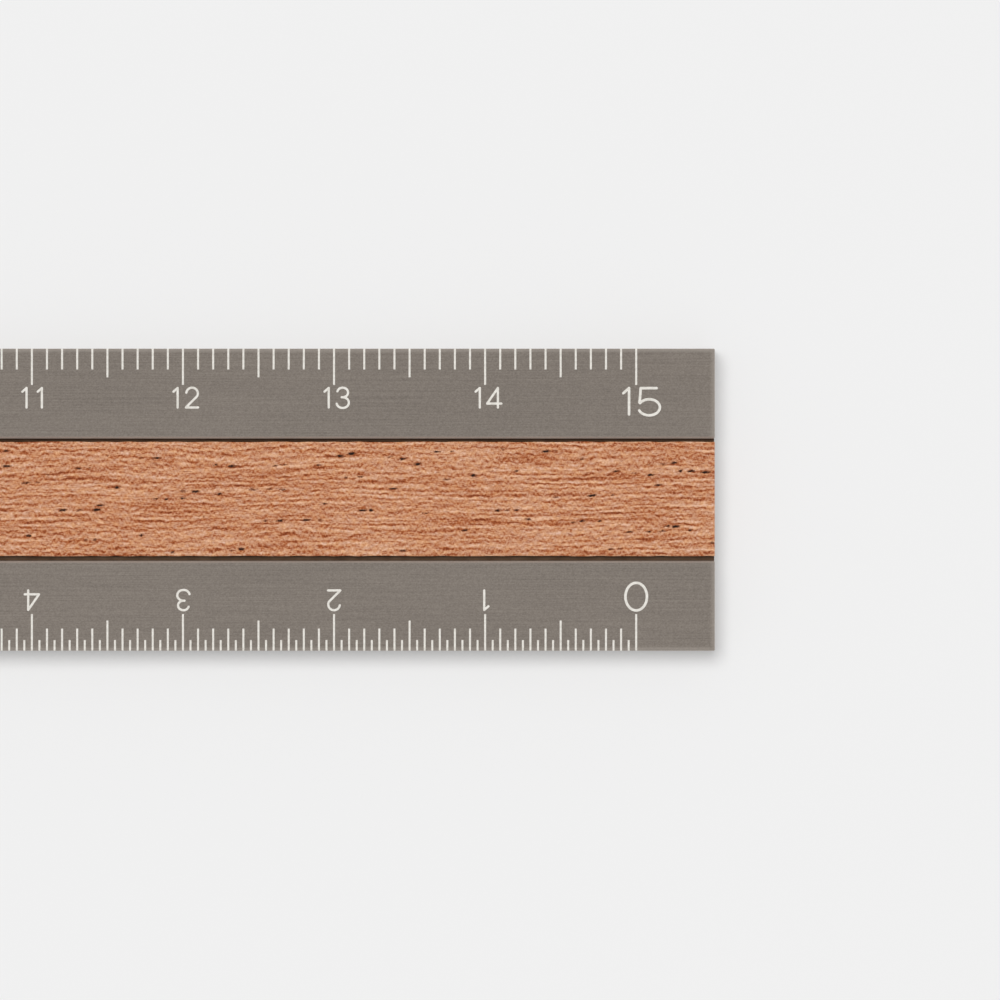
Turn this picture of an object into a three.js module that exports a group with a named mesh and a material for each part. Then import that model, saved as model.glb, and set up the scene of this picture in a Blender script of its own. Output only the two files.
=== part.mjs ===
// Desk ruler, 15 cm: an extruded and anodised aluminium bar with a strip of natural wood bonded into
// the channel along its top face.
//
// Millimetres, +Z up. X runs along the ruler towards the 15 cm end of the 1 mm scale, Y runs across it
// towards the edge with the 1 mm scale, and the origin is the middle of the underside.
import * as THREE from "three";

// Driving dimensions of the bar
const SCALE_LENGTH = 150; // graduated length of both scales
const END_MARGIN = 5.2; // plain metal past each end of the scales
const WIDTH = 20;
const THICKNESS = 3;
const EDGE_RADIUS = 0.1; // rounding of the two measuring edges
const FOOT_CHAMFER = 0.2; // broken edges of the underside
const END_CHAMFER = 0.04; // deburring of the two sawn ends

// Channel for the wood
const CHANNEL_WIDTH = 8.1;
const CHANNEL_DEPTH = 1.6;
const LIP_CHAMFER = 0.12; // broken edges of the channel's mouth
const CORNER_RADIUS = 0.15; // die radius in the channel's two inner corners

// Bonding film under the wood
const FILM_THICKNESS = 0.15;
const FILM_WIDTH = 7.3;
const FILM_INSET = 0.02; // how far each end of the film stops short of the bar's end

// Wood strip
const WOOD_WIDTH = 7.6;
const WOOD_DROP = 0.05; // how far the wood lies below the metal's top face
const WOOD_OFFSET = 0.05; // the strip sits a little towards the 1 mm scale
const WOOD_CHAMFER = 0.06;

// Worked out from the dimensions above
const LENGTH = SCALE_LENGTH + 2 * END_MARGIN;
const FLOOR_HEIGHT = THICKNESS - CHANNEL_DEPTH;
const FILM_TOP = FLOOR_HEIGHT + FILM_THICKNESS;
const WOOD_TOP = THICKNESS - WOOD_DROP;
const ARC_DIVISIONS = 4; // an arc is drawn with twice as many straight segments

const anodisedAluminium = new THREE.MeshStandardMaterial({ color: 0xa39d95, roughness: 0.4, metalness: 1 });
const naturalWood = new THREE.MeshStandardMaterial({ color: 0xc38968, roughness: 0.65, metalness: 0 });
const bondingFilm = new THREE.MeshStandardMaterial({ color: 0x3a2c22, roughness: 0.6, metalness: 0 });

// Cross-section of the metal: a flat plate with a channel in its top face, drawn anticlockwise from the
// underside.
function metalSection() {
  const side = WIDTH / 2;
  const wall = CHANNEL_WIDTH / 2;
  const lip = wall + LIP_CHAMFER;
  const edgeX = side - EDGE_RADIUS; // centres of the rounded edges
  const edgeY = THICKNESS - EDGE_RADIUS;
  const cornerX = wall - CORNER_RADIUS; // centres of the channel's rounded corners
  const cornerY = FLOOR_HEIGHT + CORNER_RADIUS;
  const quarter = Math.PI / 2;
  const outline = new THREE.Shape();
  outline.moveTo(-side + FOOT_CHAMFER, 0);
  outline.lineTo(side - FOOT_CHAMFER, 0);
  outline.lineTo(side, FOOT_CHAMFER);
  outline.absarc(edgeX, edgeY, EDGE_RADIUS, 0, quarter, false);
  outline.lineTo(lip, THICKNESS);
  outline.lineTo(wall, THICKNESS - LIP_CHAMFER);
  outline.absarc(cornerX, cornerY, CORNER_RADIUS, 0, -quarter, true);
  outline.absarc(-cornerX, cornerY, CORNER_RADIUS, -quarter, -2 * quarter, true);
  outline.lineTo(-wall, THICKNESS - LIP_CHAMFER);
  outline.lineTo(-lip, THICKNESS);
  outline.absarc(-edgeX, edgeY, EDGE_RADIUS, quarter, 2 * quarter, false);
  outline.lineTo(-side, FOOT_CHAMFER);
  outline.closePath();
  return outline;
}

// Cross-section of the wood strip: a rectangle with its two top edges broken.
function woodSection() {
  const side = WOOD_WIDTH / 2;
  const outline = new THREE.Shape();
  outline.moveTo(-side, FILM_TOP);
  outline.lineTo(side, FILM_TOP);
  outline.lineTo(side, WOOD_TOP - WOOD_CHAMFER);
  outline.lineTo(side - WOOD_CHAMFER, WOOD_TOP);
  outline.lineTo(-side + WOOD_CHAMFER, WOOD_TOP);
  outline.lineTo(-side, WOOD_TOP - WOOD_CHAMFER);
  outline.closePath();
  return outline;
}

function filmSection() {
  const side = FILM_WIDTH / 2;
  const outline = new THREE.Shape();
  outline.moveTo(-side, FLOOR_HEIGHT);
  outline.lineTo(side, FLOOR_HEIGHT);
  outline.lineTo(side, FILM_TOP);
  outline.lineTo(-side, FILM_TOP);
  outline.closePath();
  return outline;
}

// A bar of the given section, centred along X, with its two ends chamfered if asked. A section's x and y
// become the bar's Y and Z.
function barOf(section, length, endChamfer = 0) {
  const solid = new THREE.ExtrudeGeometry(section, {
    depth: length - 2 * endChamfer,
    steps: 1,
    curveSegments: ARC_DIVISIONS,
    bevelEnabled: endChamfer > 0,
    bevelThickness: endChamfer,
    bevelSize: endChamfer,
    bevelOffset: -endChamfer,
    bevelSegments: 1,
  });
  solid.translate(0, 0, -length / 2 + endChamfer);
  solid.rotateX(Math.PI / 2);
  solid.rotateZ(Math.PI / 2);
  return solid;
}

function piece(name, geometry, material) {
  const mesh = new THREE.Mesh(geometry, material);
  mesh.name = name;
  return mesh;
}

const bar = piece("aluminium_bar", barOf(metalSection(), LENGTH, END_CHAMFER), anodisedAluminium);
const film = piece("bonding_film", barOf(filmSection(), LENGTH - 2 * FILM_INSET), bondingFilm);
const wood = piece("wood_strip", barOf(woodSection(), LENGTH), naturalWood);
film.position.y = WOOD_OFFSET;
wood.position.y = WOOD_OFFSET;

const ruler = new THREE.Group();
ruler.add(bar, film, wood);

export default ruler;
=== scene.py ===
"""The looks of a 15 cm ruler: an anodised aluminium bar with a wood strip inlaid along its top face.

Lengths are in millimetres here, and a mesh is scaled to metres when it is made. The frame is the CAD model's:
+X runs towards the 15 cm end of the 1 mm scale, +Y towards the edge with that scale, and +Z is up.
"""

import math

import bpy
import numpy as np
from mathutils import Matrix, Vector


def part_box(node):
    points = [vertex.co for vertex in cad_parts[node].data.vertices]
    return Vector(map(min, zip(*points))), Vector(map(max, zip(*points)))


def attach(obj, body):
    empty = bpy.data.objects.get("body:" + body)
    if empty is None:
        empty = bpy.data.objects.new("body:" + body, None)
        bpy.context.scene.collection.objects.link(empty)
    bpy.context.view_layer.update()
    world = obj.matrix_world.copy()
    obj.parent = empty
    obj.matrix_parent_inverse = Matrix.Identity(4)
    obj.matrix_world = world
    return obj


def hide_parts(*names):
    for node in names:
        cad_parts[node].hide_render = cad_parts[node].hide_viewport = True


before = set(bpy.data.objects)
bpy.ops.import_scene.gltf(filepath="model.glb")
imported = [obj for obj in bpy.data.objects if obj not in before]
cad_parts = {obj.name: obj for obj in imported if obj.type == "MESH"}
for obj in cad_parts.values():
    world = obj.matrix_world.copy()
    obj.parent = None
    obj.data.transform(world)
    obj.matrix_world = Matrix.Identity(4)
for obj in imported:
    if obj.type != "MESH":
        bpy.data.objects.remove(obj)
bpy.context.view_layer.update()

MM = 0.001  # one millimetre in metres
GOLDEN_RATIO = (1 + math.sqrt(5)) / 2
BODY = "root"


def box_mm(node):
    """A CAD node's lowest and highest corners, in millimetres."""
    low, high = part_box(node)
    return low / MM, high / MM


BAR_LOW, BAR_HIGH = box_mm("aluminium_bar")
WOOD_LOW, WOOD_HIGH = box_mm("wood_strip")
FILM_LOW, FILM_HIGH = box_mm("bonding_film")

# The bar's section, as in the CAD model
EDGE_RADIUS = 0.1
FOOT_CHAMFER = 0.2
END_CHAMFER = 0.04
CHANNEL_WIDTH = 8.1
LIP_CHAMFER = 0.12
CORNER_RADIUS = 0.15
CHANNEL_FLOOR = FILM_LOW.z
HOLDING = 0.015  # an extra edge this far from each rounding keeps the flat faces shaded flat
WORN_AND_HIGHLIGHT_BAND = 0.3  # how far in from the edges and the sawn ends the anodising is painted lighter, as worn bare metal and a painted highlight
# The lightening painted on the rounded edges and the channel lips: partly worn bare metal, partly a painted
# highlight
EDGE_WEAR_AND_HIGHLIGHT = 0.42
LIP_WEAR_AND_HIGHLIGHT = 0.4
END_WEAR = 0.2  # all over the two sawn faces
ARC_STEPS = 12  # straight segments in a quarter round
STATION_SPACING = 4.0  # between cross-sections along the bar

# The scales
SCALE_LENGTH = 150
TICK_WIDTH = 0.13
MARK_RISE = 0.008  # the marks stand this far proud of the metal
MARK_SINK = 0.01  # and reach this far into it
STROKE_STEP = 0.0005  # each stroke of a digit is this much lower than the one before it
TICK_TURN = math.radians(80)  # how far round the edge's rounding a tick runs
SMALL_DIGIT = {"height": 1.44, "stroke": 0.148}
LARGE_DIGIT = {"height": 1.91, "stroke": 0.172}
DIGIT_ADVANCE = 0.785  # from one digit to the next, in heights of a digit's centreline
PAIR_SHIFT = 0.075  # how far right of its tick a number of two digits stands, in the same unit
MM_SCALE = {"divisions": 1, "lengths": [(10, 2.4), (5, 1.9), (1, 1.38)], "gap": 2.53, "turned": False}
HALF_MM_SCALE = {
    "divisions": 2,
    "lengths": [(10, 2.43), (5, 2.0), (1, 1.47), (0.5, 0.71)],
    "gap": 2.63,
    "turned": True,
}

# The adhesive beside the wood
BEAD_TOPS = (2.45, 2.3)  # heights, on the half-millimetre scale's side and on the 1 mm scale's side
BEAD_WAVE = 0.05  # how far those heights wander either way
BEAD_DIP = 0.03  # how far a bead's top sinks between the wood and the metal
BEAD_STEP = 0.4
CLEARANCE = 0.008  # between the adhesive and what it sticks to
ADHESIVE_SEED = 3

# The wood
WOOD_STEP_X = 0.205  # grid spacing of the face along the grain
WOOD_STEP_Y = 0.066  # and across it
FACE_DROP = 0.02  # the sanded face's mean depth below the top of the CAD strip
SWELL = 0.012  # slow rise and fall of the face
GRAIN_RELIEF = 0.008  # fine ridges along the grain
EDGE_DROP = 0.05  # how far the face falls away at its two long edges
EDGE_REACH = 0.06  # how far in from an edge that fall has mostly faded
SIDE_WAVE = 0.018  # how far the two sides wander in from the CAD strip's, on average
SIDE_LEVELS = 3  # rings of faces from the top of a side to its foot
PORE_DEPTH = 0.07
PORE_GROUPS = 190
PORE_MARGIN = 0.15  # no group of pores starts nearer to a long edge
PAINTED_RELIEF_PITCH = 0.19  # from a pale, painted-lit fibre to the painted shade line beside it
ROW_PITCH = 0.35  # from one row of fibres to the next
WOOD_SEED = 11

# Colours and colour ramps, in linear red, green and blue
ANODISING_TONES = [(0.2, (0.208, 0.179, 0.155)), (0.8, (0.486, 0.423, 0.367))]
# The pale colour that edges, lips and ends are painted towards: worn bare metal and a painted highlight
RUBBED_METAL_AND_HIGHLIGHT = (0.63, 0.56, 0.5, 1)
# The wood's palest stops also hold painted highlights on its fibres
WOOD_TONES = [
    (0.24, (0.2, 0.04, 0.013)),
    (0.37, (0.4, 0.113, 0.044)),
    (0.5, (0.572, 0.262, 0.153)),
    (0.62, (0.68, 0.36, 0.235)),
    (0.75, (0.82, 0.497, 0.37)),
]
WOOD_TINTS = [(0.3, (1.0, 0.96, 0.74)), (0.7, (0.92, 0.98, 1.0))]
WOOD_DASH = (0.26, 0.06, 0.018, 1)
PORE_RIM = (0.17, 0.045, 0.016, 1)
# The black painted into the deepest part of each pore is painted shade
PORE_SHADE_BLACK = (0.02, 0.009, 0.006, 1)
# The adhesive's dark brown, dark enough to be partly painted shade for the narrow gaps beside the wood
ADHESIVE_AND_GAP_SHADE_TONES = [(0.3, (0.072, 0.039, 0.02)), (0.7, (0.118, 0.071, 0.042))]
MARKING_TONES = [(0.3, (0.69, 0.66, 0.6)), (0.6, (0.83, 0.8, 0.74))]
FLOOR_GREY = (0.584, 0.584, 0.584, 1)
FLOOR_GLOW = 0.279

# The picture
FRAME_WIDTH = 66.19  # millimetres of the ruler's top face across the picture
FRAME_CENTRE = (65.985, -0.02)
LENS = 250.0
SENSOR = 36.0
FLOOR_SIZE = 6000.0
# The surround's radiance from just over the horizon, where it is as bright as the floor, up to overhead
SKY_LEVELS = [(0.05, 0.871), (0.2, 0.4), (0.7, 0.34), (1.0, 0.38)]
LAMP_DIRECTION = (0.155, -0.225, -1)
LAMP_ANGLE = math.radians(28)
LAMP_STRENGTH = 2.12


# ---------------------------------------------------------------------------------------------- meshes


def mesh_object(name, points, faces, material, sharp_degrees=None):
    """A mesh from points in millimetres, shaded smooth across edges flatter than the given angle."""
    mesh = bpy.data.meshes.new(name)
    mesh.from_pydata([tuple(c * MM for c in p) for p in points], [], faces)
    mesh.materials.append(material)
    if sharp_degrees is not None:
        mesh.shade_smooth()
        mesh.set_sharp_from_angle(angle=math.radians(sharp_degrees))
    piece = bpy.data.objects.new(name, mesh)
    bpy.context.scene.collection.objects.link(piece)
    return piece


def point_values(piece, name, values):
    """Stores a number for each point of a piece, which its material reads by name."""
    attribute = piece.data.attributes.new(name, "FLOAT", "POINT")
    attribute.data.foreach_set("value", np.asarray(values, np.float32))


def evenly(start, end, spacing):
    """Evenly spaced numbers from start to end, about this far apart."""
    return np.linspace(start, end, round((end - start) / spacing) + 1)


def arc(cx, cy, rx, ry, start, end, steps=ARC_STEPS):
    """Points along an elliptical arc, from one angle to another in degrees."""
    angles = np.radians(np.linspace(start, end, steps + 1))
    return [(cx + rx * math.cos(a), cy + ry * math.sin(a)) for a in angles]


# ---------------------------------------------------------------------------------------- aluminium bar


def half_section():
    """The right half of the bar's section, from the middle of the underside to the channel's floor, as points
    (y, z, lightening). The lightening says how much lighter the anodising is painted, partly as worn bare
    metal and partly as a painted highlight, and is 0 away from the top's edges."""
    side = BAR_HIGH.y
    top = BAR_HIGH.z
    wall = CHANNEL_WIDTH / 2
    corner = CHANNEL_FLOOR + CORNER_RADIUS
    points = [(0, 0, 0), (side - FOOT_CHAMFER - HOLDING, 0, 0), (side - FOOT_CHAMFER, 0, 0)]
    points += [(side, FOOT_CHAMFER, 0), (side, FOOT_CHAMFER + HOLDING, 0)]
    points += [(side, top - EDGE_RADIUS - HOLDING, 0)]
    for k, (y, z) in enumerate(arc(side - EDGE_RADIUS, top - EDGE_RADIUS, EDGE_RADIUS, EDGE_RADIUS, 0, 90)):
        points.append((y, z, EDGE_WEAR_AND_HIGHLIGHT * k / ARC_STEPS))
    points += [(side - EDGE_RADIUS - HOLDING, top, EDGE_WEAR_AND_HIGHLIGHT), (side - WORN_AND_HIGHLIGHT_BAND, top, 0)]
    points += [(wall + LIP_CHAMFER + HOLDING, top, 0), (wall + LIP_CHAMFER, top, LIP_WEAR_AND_HIGHLIGHT)]
    points += [(wall, top - LIP_CHAMFER, LIP_WEAR_AND_HIGHLIGHT), (wall, top - LIP_CHAMFER - HOLDING, 0)]
    points += [(wall, corner + HOLDING, 0)]
    for y, z in arc(wall - CORNER_RADIUS, corner, CORNER_RADIUS, CORNER_RADIUS, 0, -90):
        points.append((y, z, 0))
    points += [(wall - CORNER_RADIUS - HOLDING, CHANNEL_FLOOR, 0)]
    return points


def swept_faces(stations, count):
    """Faces of a solid swept along X, with this many stations and this many points round each."""
    faces = []
    for start in range(0, (stations - 1) * count, count):
        for i in range(count):
            j = (i + 1) % count
            faces.append((start + i, start + j, start + count + j, start + count + i))
    faces.append(tuple(reversed(range(count))))
    faces.append(tuple(range((stations - 1) * count, stations * count)))
    return faces


def inset(outline, distance):
    """A closed anticlockwise outline whose edges are all moved inwards by a distance."""
    after = np.roll(outline, -1, axis=0) - outline
    after /= np.linalg.norm(after, axis=1)[:, None]
    along = after + np.roll(after, 1, axis=0)
    along /= np.linalg.norm(along, axis=1)[:, None]
    inward = np.stack([-along[:, 1], along[:, 0]], axis=1)
    spread = (along * after).sum(axis=1)[:, None]
    return outline + inward * distance / spread


def aluminium_bar(material):
    """The extruded bar: its section swept along X, with a small chamfer round each sawn end."""
    right = half_section()
    whole = np.array(right + [(-y, z, wear_and_highlight) for y, z, wear_and_highlight in reversed(right[1:])])
    section = whole[:, :2]
    wear_and_highlight = whole[:, 2]
    # The chamfer round each sawn end is painted lighter all round, partly as worn bare metal, partly as a
    # painted highlight
    rubbed_and_highlit = np.full(len(wear_and_highlight), EDGE_WEAR_AND_HIGHLIGHT)
    sawn = np.full(len(wear_and_highlight), END_WEAR)
    first = BAR_LOW.x + END_CHAMFER
    last = BAR_HIGH.x - END_CHAMFER
    stations = [(BAR_LOW.x, inset(section, END_CHAMFER), sawn), (first, section, rubbed_and_highlit)]
    for x in evenly(first + WORN_AND_HIGHLIGHT_BAND, last - WORN_AND_HIGHLIGHT_BAND, STATION_SPACING):
        stations.append((x, section, wear_and_highlight))
    stations += [(last, section, rubbed_and_highlit), (BAR_HIGH.x, inset(section, END_CHAMFER), sawn)]
    points = [(x, y, z) for x, outline, _ in stations for y, z in outline]
    faces = swept_faces(len(stations), len(section))
    piece = mesh_object("anodised_bar", points, faces, material, sharp_degrees=28)
    point_values(piece, "wear_and_highlight", np.concatenate([values for _, _, values in stations]))
    return piece


# ------------------------------------------------------------------------------------------- the scales


def tick(x, length):
    """One graduation: a thin strip that runs in from the ruler's edge, wrapped over the edge's rounding."""
    centre_y = BAR_HIGH.y - EDGE_RADIUS
    centre_z = BAR_HIGH.z - EDGE_RADIUS
    points = []
    for side_x in (x - TICK_WIDTH / 2, x + TICK_WIDTH / 2):
        for offset in (MARK_RISE, -MARK_SINK):
            radius = EDGE_RADIUS + offset
            for turn in np.linspace(TICK_TURN, 0, ARC_STEPS):
                y = centre_y + radius * math.sin(turn)
                z = centre_z + radius * math.cos(turn)
                points.append((side_x, y, z))
            points.append((side_x, BAR_HIGH.y - length, BAR_HIGH.z + offset))
    row = ARC_STEPS + 1
    top_left, low_left, top_right, low_right = (k * row for k in range(4))
    around = (top_left, top_right, low_right, low_left)
    faces = []
    for i in range(row - 1):
        for a, b in zip(around, around[1:] + around[:1]):
            faces.append((a + i, a + i + 1, b + i + 1, b + i))
    end = row - 1
    faces.append((top_left, top_right, low_right, low_left))
    faces.append((low_left + end, low_right + end, top_right + end, top_left + end))
    return points, faces


def digit_strokes():
    """The centrelines of each digit's strokes, centred on x = 0, where the centreline of a flat-topped digit
    is 1 high. Round digits are a little taller, and a digit has a new stroke at each sharp corner."""
    hook = arc(0.045, 0.4, 0.375, 0.62, 60, 180)
    bowl = arc(0, 0.3, 0.33, 0.32, 180, -180, 3 * ARC_STEPS)
    return {
        "0": [arc(0, 0.5, 0.41, 0.525, 0, 360, 4 * ARC_STEPS)],
        "1": [[(-0.17, 0.81), (0.045, 1)], [(0.045, 1), (0.045, 0)]],
        "2": [arc(0, 0.72, 0.295, 0.295, 172, -30, 2 * ARC_STEPS) + [(-0.32, 0)], [(-0.32, 0), (0.307, 0)]],
        "3": [
            [(-0.08, 0.525)] + arc(-0.025, 0.77, 0.277, 0.245, -90, 165, 2 * ARC_STEPS),
            arc(-0.025, 0.25, 0.317, 0.275, 90, -168, 2 * ARC_STEPS),
        ],
        "4": [[(0.366, 0.2), (-0.366, 0.2)], [(-0.366, 0.2), (0.187, 1)], [(0.187, 1), (0.187, 0)]],
        "5": [
            [(0.309, 1), (-0.293, 1)],
            [(-0.293, 1), (-0.34, 0.45)],
            arc(0.026, 0.271, 0.41, 0.306, 148, -157, 2 * ARC_STEPS),
        ],
        "6": [hook, bowl],
        "7": [[(-0.31, 1), (0.31, 1)], arc(1.032, 0, 1.2, 1.25, 127, 180)],
        "8": [
            arc(0, 0.77, 0.27, 0.245, 0, 360, 3 * ARC_STEPS),
            arc(0, 0.25, 0.32, 0.275, 0, 360, 3 * ARC_STEPS),
        ],
        "9": [[(-x, 1 - y) for x, y in hook], [(-x, 1 - y) for x, y in bowl]],
    }


DIGIT_STROKES = digit_strokes()


def ribbon(path, width):
    """Flat faces along a smooth path, with round ends unless the path closes on itself. Returns points and
    faces, with all faces anticlockwise."""
    path = np.array(path, float)
    closed = np.allclose(path[0], path[-1])
    if closed:
        path = path[:-1]
        ahead = np.roll(path, -1, axis=0) - np.roll(path, 1, axis=0)
    else:
        ahead = np.gradient(path, axis=0)
    ahead /= np.linalg.norm(ahead, axis=1)[:, None]
    aside = np.stack([-ahead[:, 1], ahead[:, 0]], axis=1) * width / 2
    points = [tuple(p) for p in np.concatenate([path + aside, path - aside])]
    count = len(path)
    faces = []
    for i in range(count if closed else count - 1):
        j = (i + 1) % count
        faces.append((count + i, count + j, j, i))
    if not closed:
        for end, first, last, turn in ((0, 0, count, 90), (-1, 2 * count - 1, count - 1, -90)):
            start = math.degrees(math.atan2(ahead[end][1], ahead[end][0])) + turn
            cap = arc(*path[end], width / 2, width / 2, start, start + 180)[1:-1]
            faces.append((first, *range(len(points), len(points) + len(cap)), last))
            points += cap
    return points, faces


def standing(flat, top):
    """A thin solid on flat faces, from a little below the metal's face up to a height."""
    shape, faces = flat
    count = len(shape)
    points = [(x, y, top) for x, y in shape]
    points += [(x, y, BAR_HIGH.z - MARK_SINK) for x, y in shape]
    edges = {(i, j) for f in faces for i, j in zip(f, f[1:] + f[:1])}
    solid = list(faces)
    solid += [tuple(count + i for i in reversed(f)) for f in faces]
    solid += [(j, i, count + i, count + j) for i, j in sorted(edges) if (j, i) not in edges]
    return points, solid


def numeral(number, x, gap, digit):
    """The solids of one number under its graduation at x, read with the ruler's edge above it. The gap is the
    one from that edge to the top of the digits."""
    unit = digit["height"] - digit["stroke"]
    base = BAR_HIGH.y - gap - digit["height"] + digit["stroke"] / 2
    text = str(number)
    first = -(len(text) - 1) / 2 * DIGIT_ADVANCE
    if len(text) > 1:
        first += PAIR_SHIFT
    solids = []
    for place, character in enumerate(text):
        centre = x + (first + place * DIGIT_ADVANCE) * unit
        for layer, path in enumerate(DIGIT_STROKES[character]):
            placed = [(centre + px * unit, base + py * unit) for px, py in path]
            top = BAR_HIGH.z + MARK_RISE - layer * STROKE_STEP
            solids.append(standing(ribbon(placed, digit["stroke"]), top))
    return solids


def joined(name, solids, turned, material):
    """One piece from several solids, turned half round about Z for the scale on the far edge."""
    sign = -1 if turned else 1
    points = []
    faces = []
    for solid_points, solid_faces in solids:
        faces += [tuple(len(points) + i for i in f) for f in solid_faces]
        points += [(sign * x, sign * y, z) for x, y, z in solid_points]
    return mesh_object(name, points, faces, material)


def scale(label, material, divisions, lengths, gap, turned):
    """A scale's graduations and numerals. The lengths are those of the ticks on each step in millimetres,
    from the longest step to the shortest, and the numerals start a gap in from the ruler's edge."""
    ticks = []
    for k in range(SCALE_LENGTH * divisions + 1):
        length = next(size for step, size in lengths if k % (step * divisions) == 0)
        ticks.append(tick(k / divisions - SCALE_LENGTH / 2, length))
    numerals = []
    last = SCALE_LENGTH // 10
    for number in range(last + 1):
        digit = LARGE_DIGIT if number in (0, last) else SMALL_DIGIT
        numerals += numeral(number, number * 10 - SCALE_LENGTH / 2, gap, digit)
    pieces = [joined("graduations_" + label, ticks, turned, material)]
    pieces.append(joined("numerals_" + label, numerals, turned, material))
    return pieces


# ------------------------------------------------------------------------------------------ the adhesive


def adhesive(material):
    """The adhesive: a film under the wood with a bead up each of the gaps beside it."""
    random = np.random.default_rng(ADHESIVE_SEED)
    wall = CHANNEL_WIDTH / 2 - CLEARANCE
    x = evenly(FILM_LOW.x, FILM_HIGH.x, BEAD_STEP)
    wave = BEAD_WAVE * value_noise(x, np.array([0.0, 1.0]), 2.5, 1.0, random).T
    left_top = BEAD_TOPS[0] + wave[0]
    right_top = BEAD_TOPS[1] + wave[1]
    sections = []
    for left, right in zip(left_top, right_top):
        sections.append([
            (-wall, CHANNEL_FLOOR + CORNER_RADIUS),
            (-wall + CORNER_RADIUS, CHANNEL_FLOOR + CLEARANCE),
            (wall - CORNER_RADIUS, CHANNEL_FLOOR + CLEARANCE),
            (wall, CHANNEL_FLOOR + CORNER_RADIUS),
            (wall, right),
            ((wall + WOOD_HIGH.y + CLEARANCE) / 2, right - BEAD_DIP),
            (WOOD_HIGH.y + CLEARANCE, right),
            (WOOD_HIGH.y + CLEARANCE, FILM_HIGH.z - CLEARANCE),
            (WOOD_LOW.y - CLEARANCE, FILM_HIGH.z - CLEARANCE),
            (WOOD_LOW.y - CLEARANCE, left),
            ((-wall + WOOD_LOW.y - CLEARANCE) / 2, left - BEAD_DIP),
            (-wall, left),
        ])
    points = [(at, y, z) for at, section in zip(x, sections) for y, z in section]
    return mesh_object("adhesive", points, swept_faces(len(x), len(sections[0])), material, sharp_degrees=50)


# --------------------------------------------------------------------------------------------- the wood


def value_noise(x, y, cell_x, cell_y, random):
    """Smooth noise between -1 and 1 on a grid of points, from random values one cell apart."""
    u = (x - x.min()) / cell_x
    v = (y - y.min()) / cell_y
    table = random.uniform(-1, 1, (int(u.max()) + 2, int(v.max()) + 2))
    i = u.astype(int)
    j = v.astype(int)
    s = u - i
    t = v - j
    s = (s * s * (3 - 2 * s))[:, None]
    t = (t * t * (3 - 2 * t))[None, :]
    near = table[i][:, j] * (1 - s) + table[i + 1][:, j] * s
    far = table[i][:, j + 1] * (1 - s) + table[i + 1][:, j + 1] * s
    return near * (1 - t) + far * t


def pore_field(x, y, random):
    """How deep into an open pore each point of the wood's face lies, from 0 to about 1. Pores are short
    grooves along the grain, and a few often follow each other on one line."""
    field = np.zeros((len(x), len(y)))
    for k in range(PORE_GROUPS):
        at_x = x[0] + (x[-1] - x[0]) * (k + random.uniform(0, 1)) / PORE_GROUPS
        share = (k * GOLDEN_RATIO + random.uniform(0, 0.3)) % 1
        at_y = y[0] + PORE_MARGIN + (y[-1] - y[0] - 2 * PORE_MARGIN) * share
        slope = random.normal(0.02, 0.05)
        for _ in range(random.choice([1, 1, 1, 2, 2, 3])):
            half_length = random.uniform(0.1, 0.3)
            half_height = random.uniform(0.06, 0.1)
            near_x = np.abs(x - at_x) < 3 * half_length
            near_y = np.abs(y - at_y) < 4 * half_height + 0.05
            along = (x[near_x] - at_x)[:, None] / half_length
            across = (y[near_y][None, :] - at_y - slope * (x[near_x] - at_x)[:, None]) / half_height
            groove = random.uniform(0.45, 1.1) * np.exp(-(along**2) - across**2)
            window = np.ix_(near_x, near_y)
            field[window] = np.maximum(field[window], groove)
            at_x += 2 * half_length + random.uniform(0.0, 0.9)
            at_y += random.normal(0, 0.06)
    return field


def wood_face(x, y, random):
    """The points of the wood's top face on a grid, and how deep into a pore each of them lies."""
    pores = pore_field(x, y, random)
    height = WOOD_HIGH.z - FACE_DROP + SWELL * value_noise(x, y, 5.0, 1.1, random)
    height += GRAIN_RELIEF * value_noise(x, y, 0.9, 0.16, random)
    height -= PORE_DEPTH * pores
    edge_distance = np.minimum(y - y[0], y[-1] - y)
    height -= EDGE_DROP * np.exp(-edge_distance / EDGE_REACH)[None, :]
    shrink = SIDE_WAVE * (1 + value_noise(x, y, 0.8, 100.0, random)[:, :1])
    squeeze = 1 - 2 * shrink / (y[-1] - y[0])
    middle = (y[0] + y[-1]) / 2
    across = middle + (y - middle)[None, :] * squeeze
    along = np.broadcast_to(x[:, None], pores.shape)
    return np.stack([along, across, height], axis=2).reshape(-1, 3), pores


def block_faces(index, ring):
    """Faces of a block: its top on a grid of point numbers, rings of quads down its sides from the ring round
    that grid, and its underside, which is quads across the block with one polygon at each end."""
    nx, ny = index.shape
    quads = np.stack([index[:-1, :-1], index[1:, :-1], index[1:, 1:], index[:-1, 1:]], axis=2)
    faces = quads.reshape(-1, 4).tolist()
    upper = ring
    for k in range(SIDE_LEVELS):
        lower = nx * ny + k * len(ring) + np.arange(len(ring))
        faces += np.stack([np.roll(upper, -1), upper, lower, np.roll(lower, -1)], axis=1).tolist()
        upper = lower
    near = lower[:nx]
    far = lower[nx + ny - 2 : 2 * nx + ny - 2][::-1]
    faces += np.stack([near[1:-2], far[1:-2], far[2:-1], near[2:-1]], axis=1).tolist()
    right_end = lower[nx - 2 : nx + ny]
    left_end = np.concatenate([lower[2 * nx + ny - 4 :], lower[:2]])
    faces += [right_end[::-1].tolist(), left_end[::-1].tolist()]
    return faces


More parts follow.
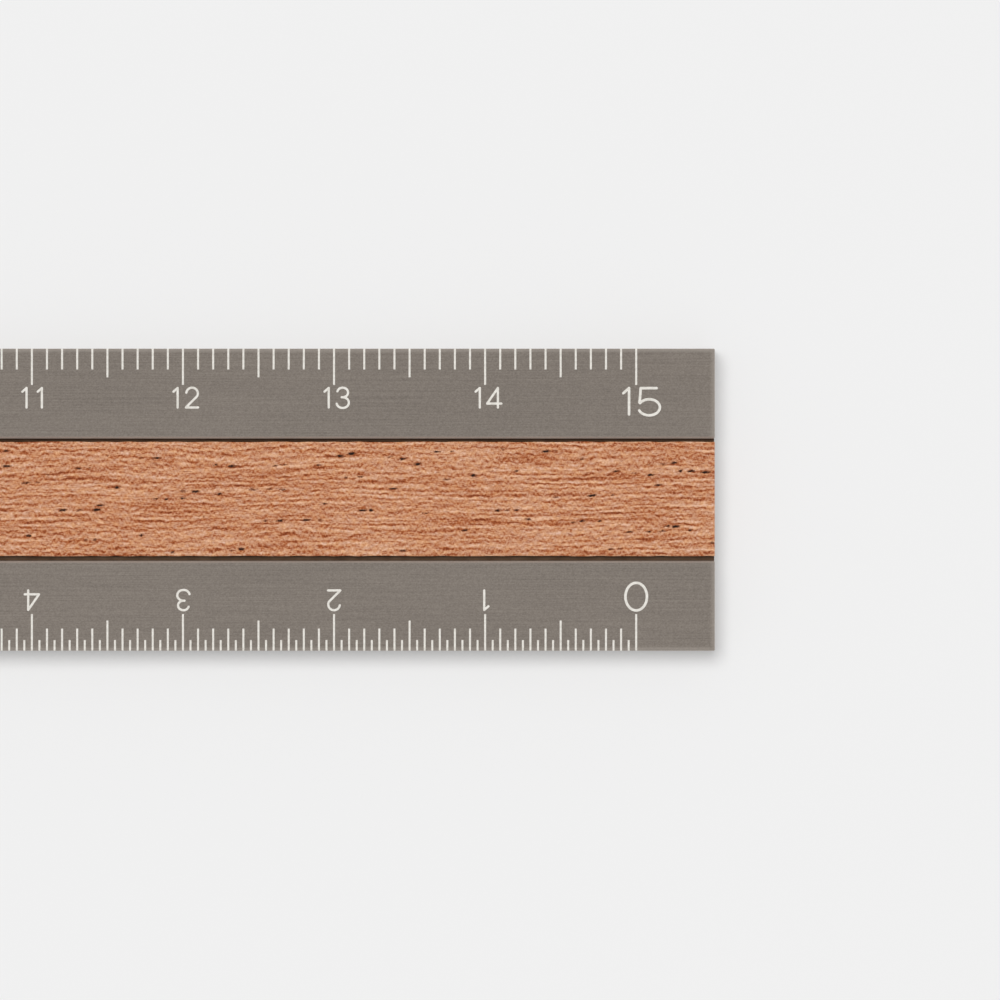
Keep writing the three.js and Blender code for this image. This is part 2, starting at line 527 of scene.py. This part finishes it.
def wood_strip(material):
    """The wood: a block whose top face has open pores, raised and sunken grain and slightly worn edges."""
    random = np.random.default_rng(WOOD_SEED)
    x = evenly(WOOD_LOW.x, WOOD_HIGH.x, WOOD_STEP_X)
    y = evenly(WOOD_LOW.y, WOOD_HIGH.y, WOOD_STEP_Y)
    top, pores = wood_face(x, y, random)
    index = np.arange(pores.size).reshape(pores.shape)
    ring = np.concatenate([index[:-1, 0], index[-1, :-1], index[:0:-1, -1], index[0, :0:-1]])
    foot = top[ring].copy()
    foot[:, 2] = WOOD_LOW.z
    points = [top]
    for level in np.linspace(0, 1, SIDE_LEVELS + 1)[1:]:
        points.append(top[ring] * (1 - level) + foot * level)
    faces = block_faces(index, ring)
    piece = mesh_object("wood_inlay", np.concatenate(points), faces, material, sharp_degrees=50)
    depth = np.zeros(len(piece.data.vertices))
    depth[: pores.size] = pores.reshape(-1)
    point_values(piece, "pore", depth)
    return piece


# -------------------------------------------------------------------------------------------- materials


def new_material(name):
    """A new material, its node tree and the tree's Principled shader."""
    material = bpy.data.materials.new(name)
    material.use_nodes = True
    tree = material.node_tree
    shader = tree.nodes["Principled BSDF"]
    return material, tree, shader


def add(tree, kind, inputs=(), **settings):
    """Adds a node, sets its settings and gives each input its value or links a socket to it."""
    node = tree.nodes.new("ShaderNode" + kind)
    for key, value in settings.items():
        setattr(node, key, value)
    for key, value in dict(inputs).items():
        if isinstance(value, bpy.types.NodeSocket):
            tree.links.new(value, node.inputs[key])
        else:
            node.inputs[key].default_value = value
    return node


def grain_noise(tree, sizes, detail=2.0, roughness=0.5, warp=None):
    """Noise whose features are about this many millimetres long in X, Y and Z."""
    place = add(tree, "TexCoord").outputs["Object"]
    if warp is not None:
        place = add(tree, "VectorMath", {0: place, 1: warp}, operation="ADD").outputs[0]
    scaled = add(tree, "VectorMath", {0: place, 1: [1 / (s * MM) for s in sizes]}, operation="MULTIPLY")
    settings = {"Vector": scaled.outputs[0], "Scale": 1.0, "Detail": detail, "Roughness": roughness}
    return add(tree, "TexNoise", settings).outputs["Fac"]


def fibre_noise(tree, sizes, warp, **settings):
    """Noise less part of its copy from one fibre to the side, so that a painted shade line follows each pale,
    painted-lit fibre, as on relief lit from one side.
    """
    beside = add(tree, "VectorMath", {0: warp, 1: (0, PAINTED_RELIEF_PITCH * MM, 0)}, operation="ADD").outputs[0]
    here = grain_noise(tree, sizes, warp=warp, **settings)
    there = grain_noise(tree, sizes, warp=beside, **settings)
    return weighted_sum(tree, [(here, 1.0), (there, -0.45)], 0.225)


def fibre_rows(tree, warp):
    """A gentle wave across the wood, one fibre row to a wave."""
    place = add(tree, "VectorMath", {0: add(tree, "TexCoord").outputs["Object"], 1: warp}, operation="ADD")
    across = add(tree, "SeparateXYZ", {0: place.outputs[0]}).outputs["Y"]
    wander = maths(tree, "MULTIPLY", grain_noise(tree, (2.2, 0.9, 0.9), detail=1.0), 9.0)
    phase = maths(tree, "MULTIPLY_ADD", across, math.tau / (ROW_PITCH * MM), wander)
    return maths(tree, "SINE", phase)


def maths(tree, operation, *numbers):
    """The result of one Math node on up to three numbers or sockets."""
    return add(tree, "Math", enumerate(numbers), operation=operation).outputs[0]


def weighted_sum(tree, parts, offset=0.0):
    """The sum of sockets, each times its weight, and an offset."""
    total = offset
    for socket, weight in parts:
        total = maths(tree, "MULTIPLY_ADD", socket, weight, total)
    return total


def blended(tree, factor, first, second, blend_type="MIX"):
    """A mix of two colours, given as numbers or sockets."""
    inputs = {"Fac": factor, "Color1": first, "Color2": second}
    return add(tree, "MixRGB", inputs, blend_type=blend_type).outputs["Color"]


def between(tree, value, start, end, most=1.0):
    """A factor that rises from 0 to its most as a value goes from start to end."""
    inputs = {"Value": value, "From Min": start, "From Max": end, "To Max": most}
    return add(tree, "MapRange", inputs).outputs["Result"]


def ramp(tree, factor, stops):
    """A colour ramp through (position, colour) stops."""
    node = add(tree, "ValToRGB", {"Fac": factor})
    elements = node.color_ramp.elements
    while len(elements) < len(stops):
        elements.new(0.5)
    for element, (position, colour) in zip(elements, stops):
        element.position = position
        element.color = (*colour, 1)
    return node.outputs["Color"]


def anodised_material():
    """Warm grey anodising over a fine lengthwise brushed grain, painted lighter on its corners, partly as
    worn bare metal and partly as a painted highlight.
    """
    material, tree, shader = new_material("brushed_anodising")
    hairlines = grain_noise(tree, (9.0, 0.07, 0.07), detail=2.0, roughness=0.7)
    speckle = grain_noise(tree, (0.1, 0.08, 0.08), detail=1.0, roughness=0.6)
    clouds = grain_noise(tree, (14.0, 5.0, 5.0), detail=1.0)
    mixed = weighted_sum(tree, [(speckle, 0.5), (hairlines, 0.4), (clouds, 0.1)])
    wear_and_highlight = add(tree, "Attribute", attribute_name="wear_and_highlight").outputs["Fac"]
    # Edges, lips and ends are painted towards pale metal: partly worn bare metal, partly a painted highlight
    colour = blended(tree, wear_and_highlight, ramp(tree, mixed, ANODISING_TONES), RUBBED_METAL_AND_HIGHLIGHT)
    tree.links.new(colour, shader.inputs["Base Color"])
    tree.links.new(weighted_sum(tree, [(hairlines, 0.16)], 0.34), shader.inputs["Roughness"])
    bump = add(tree, "Bump", {"Height": mixed, "Strength": 0.25, "Distance": 0.004 * MM})
    tree.links.new(bump.outputs["Normal"], shader.inputs["Normal"])
    shader.inputs["Metallic"].default_value = 0.6
    return material


def wood_material():
    """Reddish brown wood: close rows of short darker fibres along the length, a pale speckle between them
    that is partly painted highlight, a painted shade line beside each pale fibre as on relief lit from one
    side, thin dark dashes, and pores painted black for the shade inside them, with a reddish brown rim."""
    material, tree, shader = new_material("inlay_wood")
    drift = grain_noise(tree, (14.0, 3.5, 3.5), detail=1.0)
    crinkle = grain_noise(tree, (0.6, 0.35, 0.35), detail=1.0)
    wander = weighted_sum(tree, [(drift, 1.0), (crinkle, 0.22)], -0.61)
    warp = add(tree, "CombineXYZ", {"Y": maths(tree, "MULTIPLY", wander, 1.1 * MM)}).outputs[0]
    # Each of these three noises carries a painted relief: a painted-lit pale fibre with a painted shade line
    # beside it
    rows = fibre_noise(tree, (5.0, 0.16, 0.16), warp, detail=1.0, roughness=0.5)
    fibres = fibre_noise(tree, (0.95, 0.14, 0.14), warp, detail=1.0, roughness=0.5)
    flecks_and_highlights = fibre_noise(tree, (0.16, 0.11, 0.11), warp, detail=2.0, roughness=0.6)
    bands = grain_noise(tree, (6.0, 1.0, 1.0), detail=1.0, warp=warp)
    wave = fibre_rows(tree, warp)
    parts = [(flecks_and_highlights, 0.72), (rows, 0.5), (fibres, 0.44), (wave, 0.022), (bands, 0.18)]
    tone = weighted_sum(tree, parts, -0.412)
    hue = grain_noise(tree, (0.36, 0.26, 0.26), detail=2.0, roughness=0.6)
    tint = ramp(tree, hue, WOOD_TINTS)
    colour = blended(tree, 1.0, ramp(tree, tone, WOOD_TONES), tint, blend_type="MULTIPLY")
    dashes = grain_noise(tree, (0.55, 0.1, 0.1), detail=2.0, roughness=0.6, warp=warp)
    colour = blended(tree, between(tree, dashes, 0.385, 0.3, most=0.75), colour, WOOD_DASH)
    pore = add(tree, "Attribute", attribute_name="pore").outputs["Fac"]
    crumbs = grain_noise(tree, (0.12, 0.07, 0.07), detail=1.0)
    ragged = weighted_sum(tree, [(pore, 1.0), (crumbs, 0.8)], -0.4)
    colour = blended(tree, between(tree, ragged, 0.15, 0.35, most=0.8), colour, PORE_RIM)
    # The deepest part of each pore is painted black for the shade inside it
    colour = blended(tree, between(tree, ragged, 0.4, 0.6), colour, PORE_SHADE_BLACK)
    tree.links.new(colour, shader.inputs["Base Color"])
    tree.links.new(weighted_sum(tree, [(tone, -0.25)], 0.85), shader.inputs["Roughness"])
    bump = add(tree, "Bump", {"Height": tone, "Strength": 0.5, "Distance": 0.03 * MM})
    tree.links.new(bump.outputs["Normal"], shader.inputs["Normal"])
    shader.inputs["Specular IOR Level"].default_value = 0.3
    return material


def adhesive_material():
    """Dull dark brown adhesive, slightly uneven; its darkness is partly painted shade for the narrow gaps
    beside the wood.
    """
    material, tree, shader = new_material("brown_adhesive_and_gap_shade")
    uneven = grain_noise(tree, (0.9, 0.5, 0.5), detail=3.0)
    tree.links.new(ramp(tree, uneven, ADHESIVE_AND_GAP_SHADE_TONES), shader.inputs["Base Color"])
    bump = add(tree, "Bump", {"Height": uneven, "Strength": 0.4, "Distance": 0.05 * MM})
    tree.links.new(bump.outputs["Normal"], shader.inputs["Normal"])
    shader.inputs["Roughness"].default_value = 0.6
    return material


def marking_material():
    """The matt creamy white of the graduations and numerals, a little thinner in places."""
    material, tree, shader = new_material("white_marking")
    cover = grain_noise(tree, (0.25, 0.25, 0.25), detail=2.0)
    tree.links.new(ramp(tree, cover, MARKING_TONES), shader.inputs["Base Color"])
    bump = add(tree, "Bump", {"Height": cover, "Strength": 0.3, "Distance": 0.01 * MM})
    tree.links.new(bump.outputs["Normal"], shader.inputs["Normal"])
    shader.inputs["Roughness"].default_value = 0.6
    return material


def floor_material():
    """A pale floor that is partly lit from below, as a light table is, so that shadows on it stay pale."""
    material, _, shader = new_material("pale_floor")
    shader.inputs["Base Color"].default_value = FLOOR_GREY
    shader.inputs["Roughness"].default_value = 1.0
    shader.inputs["Specular IOR Level"].default_value = 0.0
    shader.inputs["Emission Color"].default_value = (1, 1, 1, 1)
    shader.inputs["Emission Strength"].default_value = FLOOR_GLOW
    return material


# ------------------------------------------------------------------------------------------ the studio


def studio():
    """The floor, a soft lamp over the ruler's far left, a pale surround and the camera straight above."""
    half = FLOOR_SIZE / 2
    corners = [(-half, -half, 0), (half, -half, 0), (half, half, 0), (-half, half, 0)]
    mesh_object("floor", corners, [(0, 1, 2, 3)], floor_material())

    lamp = bpy.data.lights.new("soft_lamp", "SUN")
    lamp.energy = LAMP_STRENGTH
    lamp.angle = LAMP_ANGLE
    lamp_object = bpy.data.objects.new("soft_lamp", lamp)
    lamp_object.rotation_euler = Vector(LAMP_DIRECTION).to_track_quat("-Z", "Y").to_euler()
    lamp_object.visible_glossy = False
    bpy.context.scene.collection.objects.link(lamp_object)

    world = bpy.data.worlds.new("studio")
    bpy.context.scene.world = world
    world.use_nodes = True
    tree = world.node_tree
    upward = add(tree, "SeparateXYZ", {0: add(tree, "TexCoord").outputs["Generated"]}).outputs["Z"]
    sky = ramp(tree, upward, [(height, (level,) * 3) for height, level in SKY_LEVELS])
    tree.links.new(sky, tree.nodes["Background"].inputs["Color"])

    camera = bpy.data.cameras.new("camera")
    camera.lens = LENS
    camera.sensor_width = SENSOR
    distance = FRAME_WIDTH / SENSOR * LENS
    camera_object = bpy.data.objects.new("camera", camera)
    camera_object.location = Vector((*FRAME_CENTRE, BAR_HIGH.z + distance)) * MM
    camera.clip_start = 0.01
    camera.clip_end = 20
    bpy.context.scene.collection.objects.link(camera_object)
    bpy.context.scene.camera = camera_object
    bpy.context.scene.view_settings.view_transform = "Standard"


# ------------------------------------------------------------------------------------------- assembly


studio()

bar = aluminium_bar(anodised_material())
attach(bar, BODY)
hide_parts("aluminium_bar")

wood = wood_strip(wood_material())
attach(wood, BODY)
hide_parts("wood_strip")

glue = adhesive(adhesive_material())
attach(glue, BODY)
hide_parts("bonding_film")

marking = marking_material()
marks = scale("1mm_scale", marking, **MM_SCALE) + scale("half_mm_scale", marking, **HALF_MM_SCALE)
for piece in marks:
    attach(piece, BODY)
